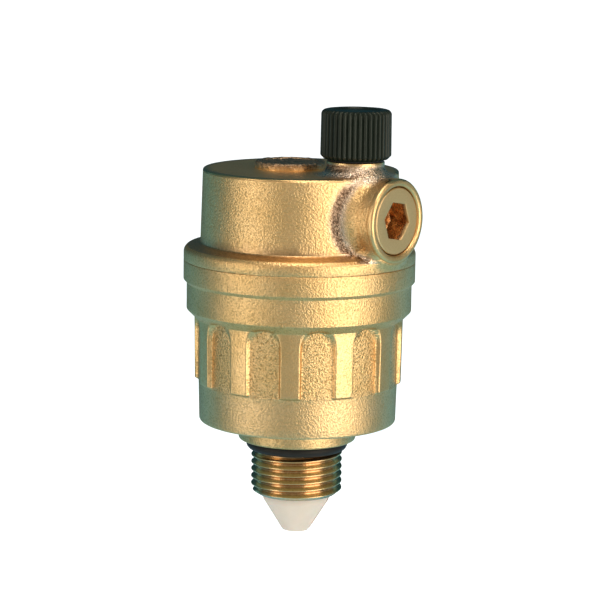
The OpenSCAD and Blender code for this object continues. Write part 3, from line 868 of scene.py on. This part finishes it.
def build_rings():
    section = (ring_high[2] - ring_low[2]) / 2
    middle = ring_high[0] - section
    points, faces = ring_points(middle, section, (ring_low[2] + ring_high[2]) / 2, 180, 32)
    make_piece("inlet_ring", points, faces, "housing", "inlet_o_ring")
    section = (plug_ring_high[0] - plug_ring_low[0]) / 2
    middle = plug_ring_high[1] - section
    along = (plug_ring_high[0] + plug_ring_low[0]) / 2
    points, faces = ring_points(middle, section - 0.02, along, 140, 20)
    make_piece("plug_ring", along_x(points, BOSS_Z), faces, "housing",
               "plug_o_ring")
    low, high = washer_low[2], washer_high[2]
    outline = rounded([(WASHER_BORE_R, low, 0.12), (WASHER_R, low, 0.2),
                       (WASHER_R, high, 0.25), (WASHER_BORE_R, high, 0.12)], steps=6)
    points, faces = turned(outline, even_angles(140))
    make_piece("nipple_washer", points + [NIPPLE_X, 0, 0], faces, "housing",
               "cap_washer")


# ------------ cap

CAP_RIDGES = 40
CAP_R = (cap_high[0] - cap_low[0]) / 2
CAP_DRAFT = 0.07  # the cap is this much slimmer at its top
CAP_RIDGE_DEPTH = 0.46
CAP_BORE_R = 4.0
CAP_DISH_R = 4.25  # the shallow dish in the cap's top


def cap_radius(angle, r, z):
    """Rounded ridges that fade out where the outline turns in."""
    ridge = np.abs(np.cos(angle * CAP_RIDGES / 2)) ** 0.85
    share = smooth((r - (CAP_R - 0.95)) / 0.9)
    outside = (z > cap_low[2] + 0.02) & (z < cap_high[2] - 0.05)
    return r - CAP_RIDGE_DEPTH * (1 - ridge) * share * outside


def cap_outline():
    low, high = cap_low[2], cap_high[2]
    roof = high - 1.4
    return profile([
        (0, roof, 0),
        (CAP_BORE_R - 0.1, roof, 0.1),
        (CAP_BORE_R, roof - 0.3, 0.1),
        (CAP_BORE_R, low + 0.35, 0.05),
        (CAP_BORE_R + 0.3, low, 0.08),
        (CAP_R - 0.62, low, 0.1),
        (CAP_R, low + 0.62, 0.25),
        (CAP_R - CAP_DRAFT, high, 1.25),
        (CAP_DISH_R + 0.2, high - 0.04, 0.3),
        (CAP_DISH_R, high - 0.3, 0.25),
        (0, high - 0.36, 0)],
        lambda at: 0.16 if at[0] > CAP_R - 0.7 and at[1] < low + 0.8 else 0.8, steps=8)


def build_cap():
    points, faces = turned_solid(cap_outline(), even_angles(CAP_RIDGES * 12), cap_radius)
    points = points + [NIPPLE_X, 0, 0]

    def finish(at):
        r = np.hypot(at[:, 0] - NIPPLE_X, at[:, 1])
        top = (at[:, 2] > cap_high[2] - 0.45) & (r < CAP_DISH_R + 0.15)
        # the groove share gets painted shade: the material takes its sheen out
        groove_shade = smooth((CAP_R - 0.08 - r) / CAP_RIDGE_DEPTH) * (at[:, 2] < cap_high[2] - 1.1)
        return np.stack([top, groove_shade, 0 * r], -1)

    make_piece("screw_cap", points, faces, "cap", "vent_cap", finish)


# ------------ float tail

TAIL_R = 6.15
TAIL_TIP_R = 2.5
TAIL_CONE_R = 6.0
TAIL_CONE_Z = -9.3
TAIL_SIDE_Z = -8.8  # lower end of the tail's straight side
FLUTE_TURN = math.radians(24)
FLUTE_W = 1.5
FLUTE_DEPTH = 1.5


def flute_tool(turn):
    """A round-bottomed slot that follows the side of the tail and its cone."""
    half = FLUTE_W / 2
    floors = [(TAIL_TIP_R - 0.35, tail_low[2] - 1), (TAIL_CONE_R, TAIL_CONE_Z),
              (TAIL_R, TAIL_SIDE_Z), (TAIL_R, bell_low[2] - 0.1)]
    arc = np.radians(np.arange(-90, 91, 15))
    rings = []
    for side_r, z in floors:
        x = side_r - FLUTE_DEPTH + half * 0.35 * (1 - np.cos(arc))
        x = np.concatenate([[side_r + 1.2], x, [side_r + 1.2]])
        y = half * np.concatenate([[-1], np.sin(arc), [1]])
        rings.append(np.stack([x * math.cos(turn) - y * math.sin(turn),
                               x * math.sin(turn) + y * math.cos(turn), z + 0 * x], -1))
    count = len(rings[0])
    ends = np.stack([np.arange(count), np.arange(len(rings) * count)[:-count - 1:-1]])
    sides = grid_faces(len(rings), count, close_rows=False)[:, ::-1]
    return loose("flute", np.concatenate(rings), [sides, ends])


def build_tail():
    disc_low, disc_high = bell_low[2] - 1.0, bell_low[2]
    wall_r = bell_high[0] - 1.05
    outline = profile([
        (0, tail_low[2], 0),
        (TAIL_TIP_R, tail_low[2], 0.08),
        (TAIL_CONE_R, TAIL_CONE_Z, 0.35),
        (TAIL_R, TAIL_SIDE_Z, 0.3),
        (TAIL_R, disc_low, 0.25),
        (bell_high[0], disc_low, 0.3),
        (bell_high[0], disc_high, 0.05),
        (wall_r, disc_high, 0.05),
        (wall_r, disc_high + 1, 0.1),
        (wall_r - 1, disc_high + 1, 0.1),
        (wall_r - 1, disc_high, 0.2),
        (0, disc_high, 0)], lambda at: 0.6 if at[1] < TAIL_SIDE_Z + 0.8 else 2.5, steps=6)
    points, faces = turned_solid(outline, even_angles(192))
    piece = make_piece("float_guide", points, faces, "float", "float_tail")
    feet = [foot_knob(math.radians(a)) for a in (0, 120, 240)]
    joined(piece, *feet)
    joined(piece, flute_tool(FLUTE_TURN), flute_tool(FLUTE_TURN + math.pi), mode="DIFFERENCE")
    shade_smooth(piece.data, 35)


def foot_knob(turn):
    """One of the knobs under the float that keep it off the chamber's floor."""
    low, high = FLOOR_Z + 0.05, bell_low[2]
    radius, away = 1.0, 11
    outline = rounded([(0, low, 0), (radius, low, 0.3), (radius, high - 0.5, 0),
                       (0, high - 0.5, 0)], closed=False)
    points, faces = turned_solid(outline, even_angles(40))
    return loose("foot", points + [away * math.cos(turn), away * math.sin(turn), 0], faces)


# ------------ materials

class Nodes:
    """A small builder for node trees."""

    def __init__(self, tree):
        self.tree = tree

    def fill(self, socket, value):
        """Sets a socket to a number, a vector or a colour, or links it to an output."""
        if isinstance(value, bpy.types.NodeSocket):
            self.tree.links.new(value, socket)
        elif isinstance(value, tuple) and socket.type == "RGBA":
            socket.default_value = (*value, 1)
        else:
            socket.default_value = value

    def node(self, kind, sockets=None, **settings):
        made = self.tree.nodes.new("ShaderNode" + kind)
        for key, value in settings.items():
            setattr(made, key, value)
        for key, value in (sockets or {}).items():
            self.fill(made.inputs[key], value)
        return made

    def spread(self, value, low, high, to_low=0.0, to_high=1.0):
        """Maps low..high onto to_low..to_high."""
        made = self.node("MapRange", {"Value": value, "From Min": low, "From Max": high,
                                      "To Min": to_low, "To Max": to_high})
        return made.outputs["Result"]

    def math(self, operation, a, b):
        return self.node("Math", {0: a, 1: b}, operation=operation).outputs["Value"]

    def mix(self, share, a, b):
        """Blends colour a into colour b."""
        # a colour mix has its factor and colours in sockets 0, 6 and 7, and its result in 2
        return self.node("Mix", {0: share, 6: a, 7: b}, data_type="RGBA").outputs[2]


class Shader(Nodes):
    """A principled material in object space, in millimetres."""

    def __init__(self, name):
        self.material = bpy.data.materials.new(name)
        self.material.use_nodes = True
        super().__init__(self.material.node_tree)
        self.bsdf = self.tree.nodes["Principled BSDF"]
        self.place = self.node("TexCoord").outputs["Object"]

    def noise(self, size, detail=2.0, stretch=(1, 1, 1), rough=0.5):
        """Noise from 0 to 1 with lumps about size millimetres across."""
        scale = tuple(s / (size * MM) for s in stretch)
        place = self.node("Mapping", {"Vector": self.place, "Scale": scale}).outputs["Vector"]
        made = self.node("TexNoise", {"Vector": place, "Scale": 1.0, "Detail": detail,
                                      "Roughness": rough})
        return made.outputs["Fac"]

    def finish(self):
        """The three numbers of the piece's finish attribute."""
        stored = self.node("Attribute", attribute_name="finish").outputs["Vector"]
        return self.node("SeparateXYZ", {"Vector": stored}).outputs

    def bump(self, height, depth, normal=None):
        """Bump from a height of 0 to 1 that stands depth millimetres."""
        sockets = {"Distance": 1.0, "Height": self.math("MULTIPLY", height, depth * MM)}
        if normal is not None:
            sockets["Normal"] = normal
        made = self.node("Bump", sockets)
        self.fill(self.bsdf.inputs["Normal"], made.outputs["Normal"])
        return made.outputs["Normal"]

    def set(self, **values):
        for key, value in values.items():
            self.fill(self.bsdf.inputs[key.replace("_", " ")], value)


def blasted_brass():
    """Sand-blasted cast brass. Its finish is its grain, which is nought on turned faces, its
    share of paler, coppery surface, which is brazing and also painted highlight and painted
    reflection, and its tarnish and painted shade."""
    s = Shader("blasted_brass")
    grain, pale, tarnish_and_shade = s.finish()
    broad = s.noise(6.0, 3)
    speck = s.noise(0.34, 2, rough=0.6)
    colour = s.mix(s.spread(broad, 0.35, 0.65), (0.84, 0.525, 0.215), (0.90, 0.58, 0.26))
    dull = s.mix(s.spread(speck, 0.34, 0.54), (0.44, 0.26, 0.09), colour)
    colour = s.mix(s.math("MULTIPLY", grain, 0.85), colour, dull)
    fine = s.noise(0.5, 4, rough=0.65)
    # the pale copper tone is the brazing's colour; its near-white end also paints the highlight
    # on the top fillets and the reflection on the lower band
    copper_and_sheen = s.mix(s.spread(fine, 0.40, 0.60), (0.72, 0.54, 0.42), (0.98, 0.86, 0.76))
    colour = s.mix(pale, colour, copper_and_sheen)
    # this dark tone is tarnish and painted shade: the thread roots, the ledge and the nipple's
    # collar
    tarnish_and_shade_tone = s.mix(s.spread(fine, 0.42, 0.60), (0.13, 0.075, 0.045), (0.44, 0.29, 0.18))
    colour = s.mix(tarnish_and_shade, colour, tarnish_and_shade_tone)
    matt = s.math("MINIMUM", s.math("MULTIPLY", grain, 3.0), 1.0)
    rough = s.math("MULTIPLY", matt, s.spread(speck, 0.35, 0.65, 0.22, 0.04))
    rough = s.math("ADD", rough, 0.26)
    rough = s.math("SUBTRACT", rough, s.math("MULTIPLY", pale, 0.1))
    s.set(Base_Color=colour, Metallic=1.0, Roughness=rough)
    normal = s.bump(s.math("MULTIPLY", speck, grain), 0.21)
    s.bump(s.math("MULTIPLY", fine, pale), 0.09, normal)
    return s.material


def matte_brass():
    """The pressed plug: dull, a little olive, and darkened in its hex socket by painted shade."""
    s = Shader("matte_brass")
    socket, _, _ = s.finish()
    speck = s.noise(0.3, 3, rough=0.6)
    colour = s.mix(s.spread(speck, 0.35, 0.65), (0.86, 0.57, 0.26), (0.93, 0.65, 0.32))
    flow = s.noise(1.5, 3)
    # painted shade: the hex socket's walls are darkened
    socket_shade = s.mix(s.spread(flow, 0.4, 0.6), (0.34, 0.17, 0.07), (0.80, 0.48, 0.23))
    colour = s.mix(socket, colour, socket_shade)
    rough = s.math("SUBTRACT", s.spread(speck, 0.3, 0.7, 0.36, 0.5),
                   s.math("MULTIPLY", socket, 0.16))
    s.set(Base_Color=colour, Metallic=1.0, Roughness=rough)
    normal = s.bump(speck, 0.02)
    s.bump(s.math("MULTIPLY", flow, socket), 0.3, normal)
    return s.material


def bright_brass():
    """Turned brass, with faint tool marks."""
    s = Shader("bright_brass")
    marks = s.noise(0.35, 2, stretch=(6, 0.4, 0.4))
    colour = s.mix(marks, (0.80, 0.55, 0.22), (0.88, 0.63, 0.29))
    s.set(Base_Color=colour, Metallic=1.0, Roughness=s.spread(marks, 0.3, 0.7, 0.2, 0.3))
    s.bump(marks, 0.01)
    return s.material


def brushed_steel():
    s = Shader("brushed_steel")
    lines = s.noise(0.25, 3, stretch=(1, 12, 1))
    colour = s.mix(lines, (0.52, 0.53, 0.54), (0.68, 0.68, 0.68))
    s.set(Base_Color=colour, Metallic=1.0, Roughness=s.spread(lines, 0.3, 0.7, 0.24, 0.38))
    s.bump(lines, 0.008)
    return s.material


def black_rubber(name="black_rubber", dark=(0.007, 0.008, 0.008), light=(0.018, 0.019, 0.018)):
    s = Shader(name)
    cloud = s.noise(1.2, 3, rough=0.6)
    s.set(Base_Color=s.mix(cloud, dark, light), Roughness=s.spread(cloud, 0.3, 0.7, 0.4, 0.55),
          Specular_IOR_Level=0.16, Specular_Tint=(1.0, 0.82, 0.62))
    s.bump(s.noise(0.18, 2), 0.012)
    return s.material


def black_plastic():
    """Moulded cap: finely matt, glossier on its top, with painted shade in its grooves, where its
    sheen is taken out.
    """
    s = Shader("black_plastic")
    polish, groove_shade, _ = s.finish()
    cloud = s.noise(2.5, 3)
    speck = s.noise(0.22, 2, rough=0.6)
    rough = s.math("SUBTRACT", s.spread(speck, 0.3, 0.7, 0.32, 0.42),
                   s.math("MULTIPLY", polish, 0.14))
    # painted shade: no sheen in the grooves
    sheen = s.math("MULTIPLY", s.math("SUBTRACT", 1.0, groove_shade), 0.28)
    s.set(Base_Color=s.mix(cloud, (0.005, 0.008, 0.005), (0.010, 0.014, 0.009)), Roughness=rough,
          Specular_IOR_Level=sheen, Specular_Tint=(1.0, 1.0, 0.85))
    s.bump(speck, 0.014)
    return s.material


def white_plastic():
    """Moulded float: slightly translucent, with faint flow clouds."""
    s = Shader("white_plastic")
    cloud = s.noise(3.5, 4, rough=0.6)
    colour = s.mix(s.spread(cloud, 0.35, 0.65), (0.46, 0.40, 0.325), (0.49, 0.43, 0.355))
    s.set(Base_Color=colour, Roughness=s.spread(s.noise(0.5, 2), 0.3, 0.7, 0.36, 0.5),
          Subsurface_Weight=0.25, Subsurface_Scale=0.001)
    s.bump(s.noise(0.4, 3), 0.012)
    return s.material


def red_fibre():
    s = Shader("red_fibre")
    threads = s.noise(0.5, 4, stretch=(1, 3, 0.7), rough=0.7)
    s.set(Base_Color=s.mix(threads, (0.30, 0.09, 0.05), (0.50, 0.19, 0.12)), Roughness=0.8)
    s.bump(threads, 0.03)
    return s.material


def dress(pieces, material):
    for name in pieces:
        piece = bpy.data.objects[name]
        piece.data.materials.clear()
        piece.data.materials.append(material)


# ------------ the object

build_body()
build_cover()
build_plug()
build_rings()
build_cap()
build_tail()

dress(["housing_body", "housing_cover"], blasted_brass())
dress(["boss_plug"], matte_brass())
dress(["valve_seat"], bright_brass())
dress(["inlet_ring", "plug_ring", "nipple_washer", "cover_seal"], black_rubber())
dress(["valve_pad", "cap_liner"],
      black_rubber("pad_rubber", (0.05, 0.03, 0.025), (0.09, 0.06, 0.05)))
dress(["screw_cap"], black_plastic())
dress(["float_guide", "float_bell"], white_plastic())
dress(["seat_gasket"], red_fibre())
dress(["float_pin", "float_link", "lever", "lever_pin", "pivot_pin", "pin_clips",
       "pivot_bracket"], brushed_steel())


# ------------ stage

CAMERA_AZIMUTH = math.radians(39.2)
CAMERA_PITCH = math.radians(-9.8)
CAMERA_ROLL = math.radians(0.9)
CAMERA_AIM = math.radians(0.142)  # how far the camera looks past the axis
CAMERA_AWAY = 447.6  # from the axis, level
CAMERA_Z = 104.1
LENS = 147.5
SENSOR = 36
LIGHT_AIM_Z = 20
FLOOR_DROP = 60


def around(turn, away, z):
    """A place at an angle to the right of the camera, seen from the axis."""
    a = CAMERA_AZIMUTH + turn
    return Vector((math.sin(a) * away, -math.cos(a) * away, z)) * MM


def add_camera():
    data = bpy.data.cameras.new("camera")
    data.sensor_width = SENSOR
    data.lens = LENS
    data.clip_start, data.clip_end = 0.01, 20
    camera = bpy.data.objects.new("camera", data)
    bpy.context.scene.collection.objects.link(camera)
    camera.location = around(0, CAMERA_AWAY, CAMERA_Z)
    heading = Euler((0, 0, CAMERA_AZIMUTH - CAMERA_AIM)).to_matrix()
    pitch = Euler((math.pi / 2 + CAMERA_PITCH, 0, 0)).to_matrix()
    roll = Euler((0, 0, CAMERA_ROLL)).to_matrix()
    camera.rotation_euler = (heading @ pitch @ roll).to_euler()
    bpy.context.scene.camera = camera


def add_light(name, turn, away, z, width, height, power, colour):
    """A soft box that faces the object, turned some degrees from the camera."""
    data = bpy.data.lights.new(name, "AREA")
    data.shape = "RECTANGLE"
    data.size, data.size_y = width * MM, height * MM
    data.energy = power
    data.color = colour
    light = bpy.data.objects.new(name, data)
    bpy.context.scene.collection.objects.link(light)
    light.location = around(math.radians(turn), away, z)
    toward = Vector((0, 0, LIGHT_AIM_Z * MM)) - light.location
    light.rotation_euler = toward.to_track_quat("-Z", "Y").to_euler()


def add_lights():
    warm, cool = (1.0, 0.94, 0.87), (0.22, 0.70, 1.0)
    add_light("key_right", 47, 420, 30, 340, 440, 1.5, warm)
    add_light("key_left", -56, 420, 50, 160, 420, 0.52, warm)
    add_light("side_right", 108, 420, 60, 110, 300, 0.03, warm)
    add_light("top", 15, 150, 430, 240, 240, 0.9, warm)
    add_light("rear_right", 135, 420, -40, 140, 300, 0.1, cool)
    add_light("rear_left", -128, 420, -40, 140, 300, 0.08, cool)


def add_world():
    """A studio that is light on the camera's side, and dim and blue-green behind."""
    world = bpy.data.worlds.new("studio")
    bpy.context.scene.world = world
    world.use_nodes = True
    s = Nodes(world.node_tree)
    s.tree.nodes.clear()
    direction = s.node("TexCoord").outputs["Generated"]
    camera_side = tuple(around(0, 1 / MM, 0))
    facing = s.node("VectorMath", {0: direction, 1: camera_side}, operation="DOT_PRODUCT")
    share = s.spread(facing.outputs["Value"], -1, 1)
    ramp = s.node("ValToRGB", {"Fac": share})
    stops = [(0.0, (0.01, 0.05, 0.07)), (0.1, (0.015, 0.07, 0.10)), (0.3, (0.04, 0.12, 0.16)),
             (0.6, (0.21, 0.24, 0.23)), (1.0, (0.36, 0.33, 0.29))]
    for at, _ in stops[1:-1]:
        ramp.color_ramp.elements.new(at)
    for element, (_, colour) in zip(ramp.color_ramp.elements, stops):
        element.color = (*colour, 1)
    # directions well below the level are a paler blue, as over a bright table
    up = s.node("SeparateXYZ", {"Vector": direction}).outputs["Z"]
    tint = s.mix(s.spread(up, -0.1, -0.85), ramp.outputs["Color"], (0.36, 0.74, 0.95))
    shade = s.node("Background", {"Color": tint, "Strength": 1.0})
    s.node("OutputWorld", {"Surface": shade.outputs["Background"]})


def add_floor():
    """A plain pale floor that curves up far behind on all sides."""
    rings = [(300, 0), (1200, 0), (2600, 0), (3200, 60), (3600, 300), (3750, 900)]
    columns = 96
    points, faces = turned(np.array(rings, float), even_angles(columns), close_rows=False)
    points = np.vstack([points, [0, 0, 0]])
    j = np.arange(columns)
    hub = np.stack([j, (j + 1) % columns, np.full(columns, len(points) - 1)], -1)
    points[:, 2] += tail_low[2] - FLOOR_DROP
    floor = loose("floor", points, [faces[:, ::-1], hub])
    shade_smooth(floor.data)
    s = Shader("pale_floor")
    cloud = s.noise(400, 2)
    s.set(Base_Color=s.mix(cloud, (0.90, 0.90, 0.90), (0.93, 0.93, 0.93)), Roughness=0.9,
          Emission_Color=(1.0, 1.0, 1.0), Emission_Strength=0.9)
    floor.data.materials.append(s.material)
    floor.visible_glossy = False


add_camera()
add_lights()
add_world()
add_floor()
bpy.context.scene.view_settings.view_transform = "Standard"
